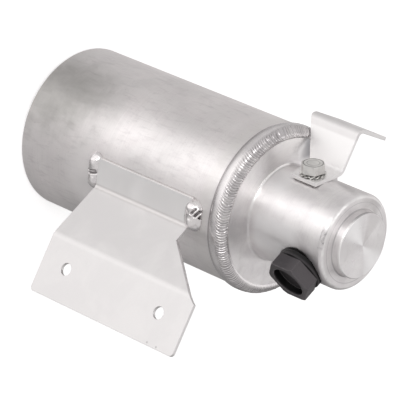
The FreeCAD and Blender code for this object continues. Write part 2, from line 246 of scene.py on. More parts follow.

# %% [markdown]
# ## Effects that several finishes share
#
# Every metal here was turned, rolled or handled, so three effects come back in most
# finishes. Each is a node group that is built once and puts out plain masks:
#
# * turning lines, which run round the axis and change only with height and radius;
# * clouds of tarnish and tiny specks, from two scales of noise;
# * edges, found by comparing the true normal with a rounded one; they are lightened as wear
#   on most metal, lightened as a painted highlight on the plugs and darkened as painted shade
#   on the brackets.

# %% Turning lines
lines_tree, lines_in, lines_out = group_tree(
    "turning_lines", "ShaderNodeTree", {"Spacing": 0.0004, "Wander": 0.6, "Seed": 0.0},
    {"Lines": FLOAT, "Bands": FLOAT})
place = object_place(lines_tree)
split = xyz(place)
rows = over(plus(axis_distance(place), split["Z"]), lines_in["Spacing"])
round_it = times(calc("ARCTAN2", split["Y"], split["X"]), lines_in["Wander"])
spot = combined(rows, round_it, lines_in["Seed"])
fine = noisy(spot, 1.0, Detail=3.0, Roughness=0.7)
wide = noisy(vector("MULTIPLY", spot, (0.06, 1.4, 1.0)), 1.0, Detail=2.0)
lines_tree.links.new(fine, lines_out["Lines"])
lines_tree.links.new(wide, lines_out["Bands"])
print("turning lines:", len(lines_tree.nodes), "nodes")

# %% Clouds of tarnish
cloud_tree, cloud_in, cloud_out = group_tree(
    "tarnish_clouds", "ShaderNodeTree", {"Size": 0.02, "Speck Size": 0.0012, "Seed": 0.0},
    {"Clouds": FLOAT, "Specks": FLOAT, "Grain": FLOAT})
moved = vector("ADD", object_place(cloud_tree), combined(cloud_in["Seed"], cloud_in["Seed"]))
big = noisy(moved, over(1.0, cloud_in["Size"]), Detail=5.0, Roughness=0.55, Distortion=0.4)
small = noisy(moved, over(1.0, cloud_in["Speck Size"]), Detail=2.0)
cloud_tree.links.new(ramp(big, 0.38, 0.66), cloud_out["Clouds"])
cloud_tree.links.new(ramp(small, 0.66, 0.74), cloud_out["Specks"])
cloud_tree.links.new(small, cloud_out["Grain"])
print("tarnish clouds:", len(cloud_tree.nodes), "nodes")

# %% Edges
edge_tree, edge_in, edge_out = group_tree(
    "worn_edges", "ShaderNodeTree", {"Width": 0.0006, "Breakup": 400.0}, {"Edge": FLOAT})
rounded_normal = add(edge_tree, "ShaderNodeBevel", {"Radius": edge_in["Width"]}, samples=6)
true_normal = add(edge_tree, "ShaderNodeNewGeometry").outputs["Normal"]
same = vector("DOT_PRODUCT", rounded_normal.outputs[0], true_normal)
broken = noisy(object_place(edge_tree), edge_in["Breakup"], Detail=3.0)
edge = times(ramp(same, 0.995, 0.90), ramp(broken, 0.3, 0.6, 0.35, 1.0))
edge_tree.links.new(edge, edge_out["Edge"])
print("worn edges:", len(edge_tree.nodes), "nodes")

# %% [markdown]
# ## Materials
#
# Each finish starts from a Principled shader. The colour, roughness and bump come from the
# shared groups, and the numbers that are the same all over are set on the shader itself.
#
# Brushed or turned metal scatters light mostly across its scratches. Here the scratches run
# round the axis, so the tangent, the direction in which highlights stretch, lies square to
# them: up the wall of the tank, and outwards on a flat face. It is the cross product of
# the direction round the axis and the surface normal.

# %% Material helpers
finishes = {}


def use(tree, group, **values):
    """Shared effect in a tree; an input's name has _ for a space."""
    made = tree.nodes.new("ShaderNodeGroup")
    made.node_tree = group
    for key, value in values.items():
        made.inputs[key.replace("_", " ")].default_value = value
    return made.outputs


def start_material(slot, name, **shader_values):
    """Tree of a new finish for a slot."""
    material = finishes[slot] = bpy.data.materials.new(name)
    material.use_nodes = True
    shader = material.node_tree.nodes["Principled BSDF"]
    for key, value in shader_values.items():
        shader.inputs[key.replace("_", " ")].default_value = value
    return material.node_tree


def across_lines(tree):
    """Direction in which lines that run round the axis stretch a highlight."""
    split = xyz(object_place(tree))
    round_axis = combined(times(split["Y"], -1.0), split["X"])
    normal = add(tree, "ShaderNodeNewGeometry").outputs["Normal"]
    return vector("CROSS_PRODUCT", round_axis, normal)


def relief(height, distance, strength=1.0):
    """Normals as if the height stood out of the surface."""
    return add(height.id_data, "ShaderNodeBump", {
        "Height": height, "Distance": distance, "Strength": strength}).outputs["Normal"]


def set_look(slot, **looks):
    """Links sockets to the shader of a slot's finish."""
    tree = finishes[slot].node_tree
    for key, socket in looks.items():
        tree.links.new(socket, tree.nodes["Principled BSDF"].inputs[key.replace("_", " ")])
    print(slot, "finish:", len(tree.nodes), "nodes")


def layered(tone, *layers):
    """Lays one colour after another over a tone, each by its mask."""
    for mask, colour in layers:
        tone = mixed(mask, tone, colour)
    return tone


print("material helpers ready")

# %% [markdown]
# ### Drawn aluminium of the tank
#
# The tank was drawn, then lightly polished on a lathe, and it has been handled since. Soft
# clouds of a warmer and a violet-grey tone lie over fine lines that run round it. The
# welder's heat left a pale band just below the bead, and the tank is darker in a thin line
# right at its toe. A rougher patch near the base is darkened as painted shade, and a spot
# beside the lower weld lump is lightened as a painted highlight.

# %% Tank
WELD_TOE_Z = 0.1401
tree = start_material("tank", "tank_aluminium", Metallic=1.0, Anisotropic=0.8)
lines = use(tree, lines_tree, Spacing=0.00035, Wander=0.8)
clouds = use(tree, cloud_tree, Size=0.035, Speck_Size=0.0009)
drifts = use(tree, cloud_tree, Size=0.012, Speck_Size=0.0025, Seed=3.0)
place = object_place(tree)
height = xyz(place)["Z"]
drawn = noisy(vector("MULTIPLY", place, (1.0, 1.0, 0.22)), 420.0,
              Detail=4.0, Roughness=0.6, Distortion=0.6)
blotch = noisy(vector("MULTIPLY", place, (1.0, 1.0, 0.6)), 110.0,
               Detail=4.0, Roughness=0.65, Distortion=0.8)
# Rougher patch near the base; its darkening is painted shade.
shaded_spot = vector("SUBTRACT", place, (-0.0115, -0.0429, 0.010))
shaded_far = plus(vector("LENGTH", vector("MULTIPLY", shaded_spot, (1.15, 0.8, 0.62))),
                times(drifts["Clouds"], 0.004))
dull_and_shaded = times(ramp(shaded_far, 0.040, 0.010), 0.85)
# Painted highlight: a spot beside the lower weld lump is lightened.
painted_light_far = vector("LENGTH", vector("SUBTRACT", place, (0.0255, -0.0364, 0.050)))
heat = band(height, WELD_TOE_Z - 0.011, WELD_TOE_Z - 0.006,
            WELD_TOE_Z - 0.003, WELD_TOE_Z - 0.0012)
# The tank is darker in a thin line right at the weld's toe.
toe = ramp(height, WELD_TOE_Z - 0.0011, WELD_TOE_Z - 0.0003)
tone = layered(
    mixed(clouds["Clouds"], (0.785, 0.762, 0.756), (0.877, 0.848, 0.842)),
    (times(drifts["Clouds"], 0.30), (0.79, 0.742, 0.748)),
    (times(lines["Bands"], 0.25), (0.92, 0.90, 0.89)),
    (times(clouds["Specks"], 0.35), (0.52, 0.50, 0.51)),
    (ramp(lines["Lines"], 0.40, 0.72, 0.0, 0.16), (0.60, 0.57, 0.58)),
    (ramp(drawn, 0.50, 0.74, 0.0, 0.30), (0.56, 0.53, 0.54)),
    (ramp(blotch, 0.50, 0.72, 0.0, 0.18), (0.62, 0.59, 0.60)),
    (dull_and_shaded, (0.43, 0.42, 0.405)),
    (ramp(painted_light_far, 0.022, 0.006, 0.0, 0.8), (0.98, 0.955, 0.95)),
    (times(heat, 0.45), (0.82, 0.80, 0.78)),
    (times(toe, 0.75), (0.22, 0.20, 0.21)))
rough = plus(0.45, times(clouds["Clouds"], 0.06), times(lines["Lines"], 0.08),
             times(dull_and_shaded, 0.12), ramp(blotch, 0.35, 0.65, -0.04, 0.07))
set_look("tank", Base_Color=tone, Roughness=rough, Tangent=across_lines(tree),
         Normal=relief(plus(lines["Lines"], times(drawn, 1.4)), 0.00003, 0.6))

# %% [markdown]
# ### Turned aluminium of the head
#
# The head is cut on a lathe from bar. Its lines are finer and cleaner than the tank's, and
# the flat end face has been faced off. The fan of light and dark that any turned disc shows
# is helped by a painted highlight on that face.

# %% Head
tree = start_material("head", "head_aluminium", Metallic=1.0, Anisotropic=0.85)
lines = use(tree, lines_tree, Spacing=0.00022, Wander=0.15, Seed=5.0)
clouds = use(tree, cloud_tree, Size=0.014, Speck_Size=0.0007, Seed=7.0)
edging = use(tree, edge_tree, Width=0.0005, Breakup=500.0)
place = object_place(tree)
smear = noisy(place, 130.0, Detail=4.0, Roughness=0.65, Distortion=0.8)
tone = layered(
    mixed(clouds["Clouds"], (0.80, 0.775, 0.78), (0.89, 0.87, 0.865)),
    (times(lines["Bands"], 0.3), (0.93, 0.91, 0.90)),
    (ramp(lines["Lines"], 0.45, 0.72, 0.0, 0.22), (0.60, 0.575, 0.58)),
    (ramp(smear, 0.50, 0.72, 0.0, 0.22), (0.62, 0.59, 0.60)),
    (times(clouds["Specks"], 0.25), (0.58, 0.56, 0.57)),
    (times(edging["Edge"], 0.6), (0.95, 0.94, 0.93)))
print("head metal:", len(tree.nodes), "nodes")

# %% [markdown]
# Marks come on top of the metal. Turned edges get painted highlights; a ring at the foot of the
# end disc, the line of a groove, the far side of the disc's edge and a patch on the neck's rim
# get painted shade; and a painted reflection of the black plug darkens the neck round the inlet.
# Each mark is a mask made from a height, a distance from the axis and a direction round it, so
# it keeps to its own feature.

# %% Marks on the head
split = xyz(place)
up = split["Z"]
out_from_axis = axis_distance(place)
around = calc("ARCTAN2", split["Y"], split["X"])


def ring(middle, half, low, high):
    """Mask of a narrow ring: its radius and half width, between two heights."""
    level = band(up, low - 0.0001, low, high, high + 0.0001)
    return times(ramp(apart(out_from_axis, middle), half, half * 0.4), level)


def towards_angle(degrees, low, high):
    """Mask that is 1 round one direction from the axis and 0 away from it."""
    return ramp(calc("COSINE", minus(around, math.radians(degrees))), low, high)


facing, aside = from_level_axis(place, INLET)
# Painted reflection of the black plug: the neck is darkened beside the inlet.
plug_reflection = times(ramp(aside, 0.0172, 0.0128, 0.0, 0.6), ramp(facing, 0.010, 0.018),
               ramp(up, 0.180, 0.190))
# Painted highlights on the turned edges: the neck's root, its rim and the end disc's crest.
root = times(ring(0.0263, 0.0006, 0.1495, 0.1508), towards_angle(-122.0, 0.70, 0.92))
rim = times(ring(0.0243, 0.0009, 0.1984, 0.1996), ramp(smear, 0.40, 0.60, 0.25, 0.9))
crest = times(ring(0.0175, 0.0004, 0.2036, 0.2046), towards_angle(-80.0, 0.0, 0.6))
painted_highlights = most(root, rim, crest)
# Painted shade: a ring at the foot of the end disc, a thin ring on the annulus drawn as the
# shade of a groove, and the far side of the disc's edge. A dark patch on the neck's rim is a
# painted reflection.
step_shade = times(ring(0.0180, 0.0004, 0.1994, 0.2006), 0.6)
groove_shade = times(ring(0.0215, 0.0003, 0.1994, 0.1998), 0.35)
shade = times(ring(0.0176, 0.0005, 0.2034, 0.2046), towards_angle(-168.0, 0.60, 0.85), 0.7)
rim_reflection = times(ring(0.0252, 0.0016, 0.1966, 0.1992), towards_angle(-80.0, 0.965, 0.995),
               ramp(smear, 0.40, 0.56, 0.15, 1.0))
tone = layered(tone,
               (plug_reflection, (0.24, 0.22, 0.23)),
               (painted_highlights, (0.98, 0.97, 0.96)),
               (most(step_shade, groove_shade, shade, rim_reflection), (0.34, 0.33, 0.335)))
print("marks on the head:", len(tree.nodes), "nodes")

# %% [markdown]
# Broad soft areas of painted light and shade come last. The neck gets painted shade at its far
# edge and painted light beside its highlight and at its root, the flange gets a paler painted
# patch and painted shade where the bracket's riser stands close over it, and the end face gets
# a painted fan of light like that of a turned disc.

# %% Light and shade on the head
# Painted shade on the far edge of the neck near its root.
limb_shade = times(towards_angle(-180.0, 0.90, 0.985), ramp(up, 0.153, 0.165, 0.0, 0.5))
# Painted light beside the neck's highlight, at the neck's root and on the flange.
painted_light = times(towards_angle(-56.0, 0.88, 0.98), ramp(up, 0.1510, 0.1560, 0.0, 0.85),
             ramp(up, 0.1860, 0.1770))
painted_light_root = times(towards_angle(-126.0, 0.92, 0.99), ramp(up, 0.1505, 0.1520, 0.0, 0.9),
                  ramp(up, 0.1690, 0.1590))
painted_light_flange = times(towards_angle(-155.0, 0.90, 0.985),
                    ramp(out_from_axis, 0.0275, 0.0300, 0.0, 0.5))
# Painted shade on the flange where the bracket's riser stands close over it.
from_riser = vector("SUBTRACT", place, (-0.0415, -0.0070, 0.1495))
run = vector("DOT_PRODUCT", from_riser, (0.8944, 0.4472, 0.0))
gap = vector("DOT_PRODUCT", from_riser, (0.4472, -0.8944, 0.0))
riser_shade = times(ramp(over(gap, plus(0.0012, times(run, 0.32))), 1.0, -1.2),
              ramp(gap, -0.0060, -0.0045), ramp(run, 0.0150, 0.0120),
              ramp(run, -0.0040, -0.0010), ramp(up, 0.1475, 0.1490, 0.0, 0.75))
# Painted highlight: the fan of light of a turned disc on the end face.
end_face = times(ramp(up, 0.2040, 0.2044), ramp(out_from_axis, 0.0174, 0.0170))
painted_fan = ramp(calc("COSINE", times(minus(around, 1.15), 2.0)), 0.35, 0.95)
tone = layered(tone,
               (limb_shade, (0.58, 0.555, 0.55)),
               (most(painted_light, painted_light_root), (0.99, 0.98, 0.98)),
               (painted_light_flange, (0.99, 0.975, 0.965)),
               (riser_shade, (0.30, 0.30, 0.32)),
               (times(painted_fan, end_face, 0.8), (0.99, 0.98, 0.98)))
rough = plus(0.38, times(clouds["Clouds"], 0.06), times(lines["Lines"], 0.06),
             ramp(smear, 0.35, 0.65, -0.04, 0.06), times(end_face, -0.10),
             times(painted_highlights, -0.12), times(root, -0.10))
set_look("head", Base_Color=tone, Roughness=rough, Tangent=across_lines(tree),
         Normal=relief(lines["Lines"], 0.00003, 0.5))

# %% [markdown]
# ### Weld metal
#
# The beads froze from liquid, so they are smoother and shinier than the metal beside them.
# Soot and oxide stay in the hollows between the ripples and along the toes. The meshes carry
# a value named soot at every point, which says how deep in a hollow the point lies, and the
# material darkens by it.

# %% Weld
tree = start_material("weld", "weld_metal", Metallic=1.0)
clouds = use(tree, cloud_tree, Size=0.009, Speck_Size=0.0006, Seed=11.0)
soot = add(tree, "ShaderNodeAttribute", attribute_name="soot").outputs["Fac"]
tone = layered(
    mixed(clouds["Clouds"], (0.74, 0.715, 0.72), (0.82, 0.795, 0.79)),
    (times(clouds["Specks"], 0.35), (0.40, 0.38, 0.39)),
    (times(soot, 0.85), (0.16, 0.145, 0.15)))
rough = plus(0.21, times(clouds["Clouds"], 0.05), times(soot, 0.2))
set_look("weld", Base_Color=tone, Roughness=rough,
         Normal=relief(clouds["Grain"], 0.00003, 0.25))

# %% [markdown]
# ### Rolled sheet of the brackets
#
# Mill finish sheet is paler and duller than turned metal. Its grain is fine and has no
# strong direction. The sheared edges are rounded so that they catch light, and their colour
# is darkened as painted shade. Painted shade also lies along a bend, and the strip beside the
# tank is lightened as painted light. Dust and fingers have left faint clouds.

# %% Brackets
tree = start_material("bracket", "sheet_aluminium", Metallic=1.0)
clouds = use(tree, cloud_tree, Size=0.02, Speck_Size=0.0005, Seed=17.0)
edging = use(tree, edge_tree, Width=0.0005, Breakup=350.0)
place = object_place(tree)
from_shaded_bend = apart(xyz(place)["X"], 0.0257)
# Painted light on the strip beside the tank; painted shade along a bend and on the edges.
tone = layered(
    mixed(clouds["Clouds"], (0.78, 0.765, 0.762), (0.83, 0.815, 0.81)),
    (times(clouds["Specks"], 0.3), (0.70, 0.68, 0.68)),
    (ramp(axis_distance(place), 0.0485, 0.0470, 0.0, 0.7), (0.94, 0.93, 0.925)),
    (ramp(from_shaded_bend, 0.0020, 0.0008, 0.0, 0.6), (0.64, 0.615, 0.605)),
    (times(edging["Edge"], 0.5), (0.66, 0.64, 0.64)))
for nick in ((0.0864, -0.0557, 0.1460), (0.0867, -0.0557, 0.1525)):
    off = vector("LENGTH", vector("SUBTRACT", place, nick))
    tone = mixed(ramp(off, 0.0008, 0.0003, 0.0, 0.5), tone, (0.36, 0.35, 0.35))
set_look("bracket", Base_Color=tone, Roughness=plus(0.50, times(clouds["Clouds"], 0.06)),
         Normal=relief(clouds["Grain"], 0.00003, 0.25))

# %% [markdown]
# ### Plated steel, black plastic and the hidden parts
#
# The bolt is zinc plated, which looks like pale, slightly yellow metal with a fine
# crystal. The plugs are moulded in black plastic with a satin skin. The parts inside the
# tank are never seen in this picture, but each still gets its own finish, so that the
# object can be opened.

# %% Fastener
def plain_metal(slot, name, dark, light, rough, size, seed):
    """Clouded metal with worn edges; gives its tree and its tone."""
    tree = start_material(slot, name, Metallic=1.0)
    clouds = use(tree, cloud_tree, Size=size, Speck_Size=size * 0.08, Seed=seed)
    edging = use(tree, edge_tree, Width=0.0004, Breakup=600.0)
    tone = layered(mixed(clouds["Clouds"], dark, light),
                   (times(edging["Edge"], 0.4), (0.9, 0.89, 0.87)))
    set_look(slot, Base_Color=tone, Roughness=plus(rough, times(clouds["Clouds"], 0.1)),
             Normal=relief(clouds["Grain"], 0.00003, 0.3))
    return tree, tone


tree, tone = plain_metal("fastener", "zinc_plate", (0.68, 0.675, 0.655), (0.80, 0.79, 0.765),
                         0.32, 0.004, 23.0)
reach, aside = from_level_axis(object_place(tree), BOLT)
# Painted shade: dark at the foot of the hex and faintly over the washer, and two dark rings on
# the head's top.
dark = times(ramp(reach, 0.0296, 0.0293), 0.85)
for middle, half, depth in ((0.0051, 0.0004, 0.75), (0.0033, 0.0003, 0.45)):
    line = times(ramp(apart(aside, middle), half, half * 0.3),
                 ramp(reach, 0.0336, 0.0340, 0.0, depth))
    dark = most(dark, line)
dark = times(dark, ramp(reach, 0.0289, 0.0292, 0.12, 1.0))
set_look("fastener", Base_Color=mixed(dark, tone, (0.13, 0.125, 0.12)))

# %% Plugs
tree = start_material("plug", "black_plastic", Specular_IOR_Level=0.28, IOR=1.5)
clouds = use(tree, cloud_tree, Size=0.006, Speck_Size=0.0004, Seed=31.0)
edging = use(tree, edge_tree, Width=0.0009, Breakup=500.0)
place = object_place(tree)
# Painted highlight on the plug's hex edges.
tone = layered(mixed(clouds["Clouds"], (0.043, 0.038, 0.042), (0.055, 0.049, 0.052)),
               (times(edging["Edge"], 0.8), (0.20, 0.185, 0.19)))
for axis in (INLET, OUTLET):
    reach, aside = from_level_axis(place, axis)
    rise = minus(xyz(place)["Z"], axis[1] * MM)
    this_one = ramp(reach, 0.010, 0.012)
    # Painted light on the plug's upper facets; painted shade on the pocket's floor and wall and
    # at the collar's foot. The seam is a dark joint.
    painted_side_light = times(ramp(rise, -0.001, 0.009, 0.0, 0.8), ramp(aside, 0.0095, 0.0105), this_one)
    floor_shade = times(ramp(aside, 0.0092, 0.0088), ramp(reach, 0.0326, 0.0320))
    wall_shade = times(band(aside, 0.0088, 0.0090, 0.0091, 0.0095),
                 band(reach, 0.0316, 0.0319, 0.0345, 0.0356))
    foot_shade = times(ramp(reach, 0.0268, 0.0255, 0.55, 1.0), ramp(reach, 0.0275, 0.0272), this_one)
    seam = band(reach, 0.0271, 0.0274, 0.0276, 0.0279)
    tone = layered(tone,
                   (painted_side_light, (0.090, 0.081, 0.086)),
                   (floor_shade, (0.030, 0.027, 0.029)),
                   (wall_shade, (0.003, 0.0026, 0.003)),
                   (foot_shade, (0.003, 0.0026, 0.003)),
                   (seam, (0.004, 0.0036, 0.004)))
set_look("plug", Base_Color=tone, Roughness=plus(0.38, times(clouds["Clouds"], 0.12)),
         Normal=relief(clouds["Grain"], 0.00004, 0.3))

# %% Hidden metal parts
for row in (("tube", "drawn_tube", (0.66, 0.65, 0.65), (0.76, 0.75, 0.75), 0.30, 0.01, 41.0),
            ("plate", "pressed_steel", (0.42, 0.42, 0.42), (0.56, 0.56, 0.55),
             0.36, 0.008, 43.0),
            ("spring", "spring_wire", (0.26, 0.26, 0.27), (0.38, 0.38, 0.38),
             0.33, 0.006, 47.0)):
    plain_metal(*row)

# %% Hidden soft parts
def plain_soft(slot, name, dark, light, rough, size, seed, depth):
    """Clouded matt stuff with a relief of some depth."""
    tree = start_material(slot, name)
    clouds = use(tree, cloud_tree, Size=size, Speck_Size=size * 0.15, Seed=seed)
    set_look(slot, Base_Color=mixed(clouds["Clouds"], dark, light),
             Roughness=plus(rough, times(clouds["Clouds"], 0.1)),
             Normal=relief(clouds["Grain"], depth, 0.6))


for row in (("seal", "seal_rubber", (0.012, 0.014, 0.012), (0.022, 0.026, 0.022),
             0.5, 0.003, 53.0, 0.00005),
            ("pad", "felt", (0.70, 0.68, 0.62), (0.86, 0.84, 0.79), 0.85, 0.002, 59.0, 0.0006),
            ("strainer", "strainer_plastic", (0.78, 0.78, 0.74), (0.86, 0.86, 0.82),
             0.4, 0.01, 61.0, 0.00002)):
    plain_soft(*row)

# %% Beads and gauze
tree = start_material("desiccant", "desiccant_beads", Roughness=0.75)
beads = add(tree, "ShaderNodeTexVoronoi",
            {"Vector": object_place(tree), "Scale": 420.0, "Randomness": 0.8}).outputs
chance = add(tree, "ShaderNodeSeparateColor", {0: beads["Color"]}).outputs[0]
tone = mixed(chance, (0.56, 0.45, 0.33), (0.80, 0.70, 0.56))
gap = ramp(beads["Distance"], 0.35, 0.65)
set_look("desiccant", Base_Color=mixed(gap, tone, (0.12, 0.09, 0.06)),
         Normal=relief(minus(1.0, beads["Distance"]), 0.001))

tree = start_material("gauze", "woven_gauze", Metallic=1.0, Roughness=0.35)
split = xyz(object_place(tree))
warp = calc("SINE", times(calc("ARCTAN2", split["Y"], split["X"]), 120.0))
weft = calc("SINE", times(split["Z"], 13000.0))
weave = plus(calc("ABSOLUTE", warp), calc("ABSOLUTE", weft))
tone = mixed(ramp(weave, 0.3, 1.2), (0.08, 0.08, 0.08), (0.66, 0.65, 0.62))
set_look("gauze", Base_Color=tone, Normal=relief(weave, 0.0001))
print(len(finishes), "finishes in all")

# %% [markdown]
# ## Turned parts from one profile
#
# The tank and the head are solids of revolution, so one Geometry Nodes tree makes both. Its
# input is a chain of points, the half section. The tree rolls up a grid: each row of the
# grid takes its radius and height from one point of the chain, and each column its angle.
# Merging the doubled points closes the seam and the poles.
#
# The corners of the section get true arcs before they go in, because a rounded corner on a
# turned part is what catches the light.

# %% The lathe tree
def rolled_tree(name, steps, **numbers):
    """Tree that rolls a grid round Z over a section. Gives the tree with its inputs and
    results, and the grid's mesh, row, rows in all, angle and point of the section."""
    numbers = {key.replace("_", " "): value for key, value in numbers.items()}
    tree, ins, outs = group_tree(
        name, "GeometryNodeTree",
        {"Section": GEOMETRY, "Steps": steps, **numbers, "Material": "NodeSocketMaterial"},
        {"Geometry": GEOMETRY})
    section, steps = ins["Section"], ins["Steps"]
    count = add(tree, "GeometryNodeAttributeDomainSize", {"Geometry": section},
                component="MESH").outputs["Point Count"]
    grid = add(tree, "GeometryNodeMeshGrid",
               {"Vertices X": plus(steps, 1.0), "Vertices Y": count})
    index = add(tree, "GeometryNodeInputIndex").outputs[0]
    row = calc("MODULO", index, count)
    column = calc("FLOOR", over(plus(index, 0.5), count))
    angle = times(over(column, steps), math.tau)
    position = add(tree, "GeometryNodeInputPosition").outputs[0]
    point = add(tree, "GeometryNodeSampleIndex",
                {"Geometry": section, "Value": position, "Index": row},
                data_type="FLOAT_VECTOR", domain="POINT").outputs[0]
    return tree, ins, outs, grid.outputs["Mesh"], row, count, angle, xyz(point)


def round_axis_point(radius, angle, height):
    return combined(times(radius, calc("COSINE", angle)), times(radius, calc("SINE", angle)),
                    height)


# Points closer than this, in metres, are one point.
DOUBLED = 0.000002


def close_tree(tree, last, ins, outs):
    """Merges doubled points, then realizes, dresses and hands out what the last node made."""
    merged = add(tree, "GeometryNodeMergeByDistance",
                 {"Geometry": last.outputs[0], "Distance": DOUBLED})
    solid = add(tree, "GeometryNodeRealizeInstances", {"Geometry": merged.outputs[0]})
    dressed = add(tree, "GeometryNodeSetMaterial",
                  {"Geometry": solid.outputs[0], "Material": ins["Material"]})
    tree.links.new(dressed.outputs[0], outs[0])
    print(tree.name, "tree:", len(tree.nodes), "nodes")


lathe, lathe_in, lathe_out, mesh, _, _, angle, split = rolled_tree("lathe", 240)
placed = add(lathe, "GeometryNodeSetPosition",
             {"Geometry": mesh, "Position": round_axis_point(split["X"], angle, split["Z"])})
close_tree(lathe, placed, lathe_in, lathe_out)

# %% Running a tree and finishing a piece
def run_tree(name, tree, section, **values):
    """Object that a tree makes of a section, its modifier applied."""
    piece = linked(name, chain_mesh(name, section))
    modifier = piece.modifiers.new("tree", "NODES")
    modifier.node_group = tree
    for item in tree.interface.items_tree:
        key = item.name.replace(" ", "_")
        if item.in_out == "INPUT" and key in values:
            modifier[item.identifier] = values[key]
    return settle(piece)


def settle(piece):
    """Turns what the modifiers make into the piece's own mesh."""
    graph = bpy.context.evaluated_depsgraph_get()
    made = bpy.data.meshes.new_from_object(piece.evaluated_get(graph))
    made.name = piece.name
    piece.modifiers.clear()
    piece.data = made
    return piece


def outward(piece):
    """Points every face outwards."""
    work = bmesh.new()
    work.from_mesh(piece.data)
    bmesh.ops.recalc_face_normals(work, faces=work.faces)
    work.to_mesh(piece.data)
    work.free()
    return piece


def smooth(piece, degrees=30.0):
    """Smooth shading that keeps corners sharper than an angle."""
    piece.data.shade_smooth()
    piece.data.set_sharp_from_angle(angle=math.radians(degrees))
    piece.modifiers.new("even", "WEIGHTED_NORMAL").keep_sharp = True
    return settle(piece)


def stand_for(piece, node, slot):
    """The piece takes the place of a node, and the finish of its slot."""
    if not piece.data.materials:
        piece.data.materials.append(finishes[slot])
    piece.data.materials[0] = finishes[slot]
    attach(piece, "root")
    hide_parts(node)
    print("%-20s %6d faces" % (piece.name, len(piece.data.polygons)))


print("piece helpers ready")

# %% Half sections with rounded corners
def rounded(points, steps=8):
    """Chain from (radius, height, corner radius) in millimetres, corners made arcs."""
    out = []
    for i, (r, z, bend) in enumerate(points):
        here = Vector((r, z))
        if not bend:
            out.append(here)
            continue
        before = (Vector(points[i - 1][:2]) - here).normalized()
        after = (Vector(points[i + 1][:2]) - here).normalized()
        half = before.angle(after) / 2.0
        back = bend / math.tan(half)
        centre = here + (before + after).normalized() * (bend / math.sin(half))
        first = here + before * back - centre
        last = here + after * back - centre
        swing = first.angle_signed(last)
        for k in range(steps + 1):
            turned = first.copy()
            turned.rotate(Matrix.Rotation(-swing * k / steps, 2))
            out.append(centre + turned)
    return out


def chain_mesh(name, points):
    mesh = bpy.data.meshes.new(name)
    mesh.from_pydata([(r * MM, 0.0, z * MM) for r, z in points],
                     [(i, i + 1) for i in range(len(points) - 1)], [])
    return mesh


print("section helpers ready")

# %% [markdown]
# ## The tank
#
# A drawn cup: a rounded edge at the base, an even wall, a flat bottom that is dished a
# little less than a millimetre inside the rim, and a squared mouth under the bead.

# %% Tank
tank_section = rounded([
    (0, 0.0, 0), (44.45, 0, 2.4), (44.45, 143.0, 0), (41.85, 143.0, 0), (41.85, 3.4, 4.0),
    (0, 3.4, 0)])
tank = run_tree("tank", lathe, tank_section, Steps=320)
stand_for(smooth(outward(tank)), "tank_shell", "tank")

# %% [markdown]
# ## The head
#
# The same tree turns the head from its section. Real ports and passages are then drilled
# with a Boolean modifier: a shallow flat seat, a bore for the plug, and the passages that
# lead down into the tank.

# %% Head
JOINT = 143.0
FLANGE_TOP = 149.5
NECK_TOP = 199.6
NECK_RADIUS = 25.7
head_section = rounded([
    (0, 175.4, 0), (3.6, 175.4, 0), (3.6, 144.0, 0), (6.15, 144.0, 0), (6.15, 135.0, 0),
    (11.0, 135.0, 0), (11.0, 141.0, 0), (35.75, 141.0, 0), (35.75, 135.0, 0),
    (40.75, 135.0, 0), (41.75, 136.0, 0), (41.75, JOINT, 0), (44.45, JOINT, 0),
    (44.45, 144.4, 0), (40.6, FLANGE_TOP, 0), (NECK_RADIUS, FLANGE_TOP, 1.4),
    (NECK_RADIUS, NECK_TOP, 2.3), (17.6, NECK_TOP, 1.1), (17.6, 204.7, 0.6), (0, 204.7, 0)])
head = run_tree("head_turned", lathe, head_section, Steps=320)
outward(head)


def round_bar(start, axis, radius, length, sides=96):
    """Closed cylinder mesh from a start point along an axis, in millimetres."""
    work = bmesh.new()
    bmesh.ops.create_cone(work, cap_ends=True, segments=sides, radius1=radius * MM,
                          radius2=radius * MM, depth=length * MM)
    turn = axis.to_track_quat("Z", "Y").to_matrix().to_4x4()
    middle = (start + axis * length / 2.0) * MM
    bmesh.ops.transform(work, matrix=Matrix.Translation(middle) @ turn, verts=work.verts)
    mesh = bpy.data.meshes.new("cutter")
    work.to_mesh(mesh)
    work.free()
    return linked("cutter", mesh)


def bored(piece, bars):
    """Cuts every bar from the piece."""
    cutters = [round_bar(*bar) for bar in bars]
    for cutter in cutters:
        cut = piece.modifiers.new("bore", "BOOLEAN")
        cut.operation = "DIFFERENCE"
        cut.solver = "EXACT"
        cut.object = cutter
    settle(piece)
    for cutter in cutters:
        bpy.data.objects.remove(cutter)


def axis_point(axis, distance):
    """Point on a level axis, that far from the middle line, in millimetres."""
    angle, height = axis
    return heading(angle) * distance + Vector((0, 0, height))


bars = []
for axis in (INLET, OUTLET):
    out = heading(axis[0])
    bars.append((axis_point(axis, 24.2), out, 13.1, 10.0, 128))
    bars.append((axis_point(axis, 12.2), out, 8.6, 13.0))
bars.append((axis_point((INLET[0], 140.5), 16.4), Vector((0, 0, 1)), 3.6, 42.8, 48))
bars.append((axis_point(OUTLET, -1.55), heading(OUTLET[0]), 3.1, 15.3, 48))
bars.append((axis_point(BOLT, 13.55), heading(BOLT[0]), 3.1, 14.0, 48))
bored(head, bars)
stand_for(smooth(head), "head", "head")

# %% [markdown]
# ## The girth bead
#
# A welder lays the bead in small puddles while the tank turns, and each puddle freezes as a
# curved ripple over the last one. The bead is the lathe's rolled grid once more, with a
# displacement on top. On the tank's side the bead is smooth and shiny. On the head's side a
# band of ripples runs across it. Each ripple is a curved saw tooth along the angle, its
# height and spacing disturbed by noise, because no two puddles are the same.

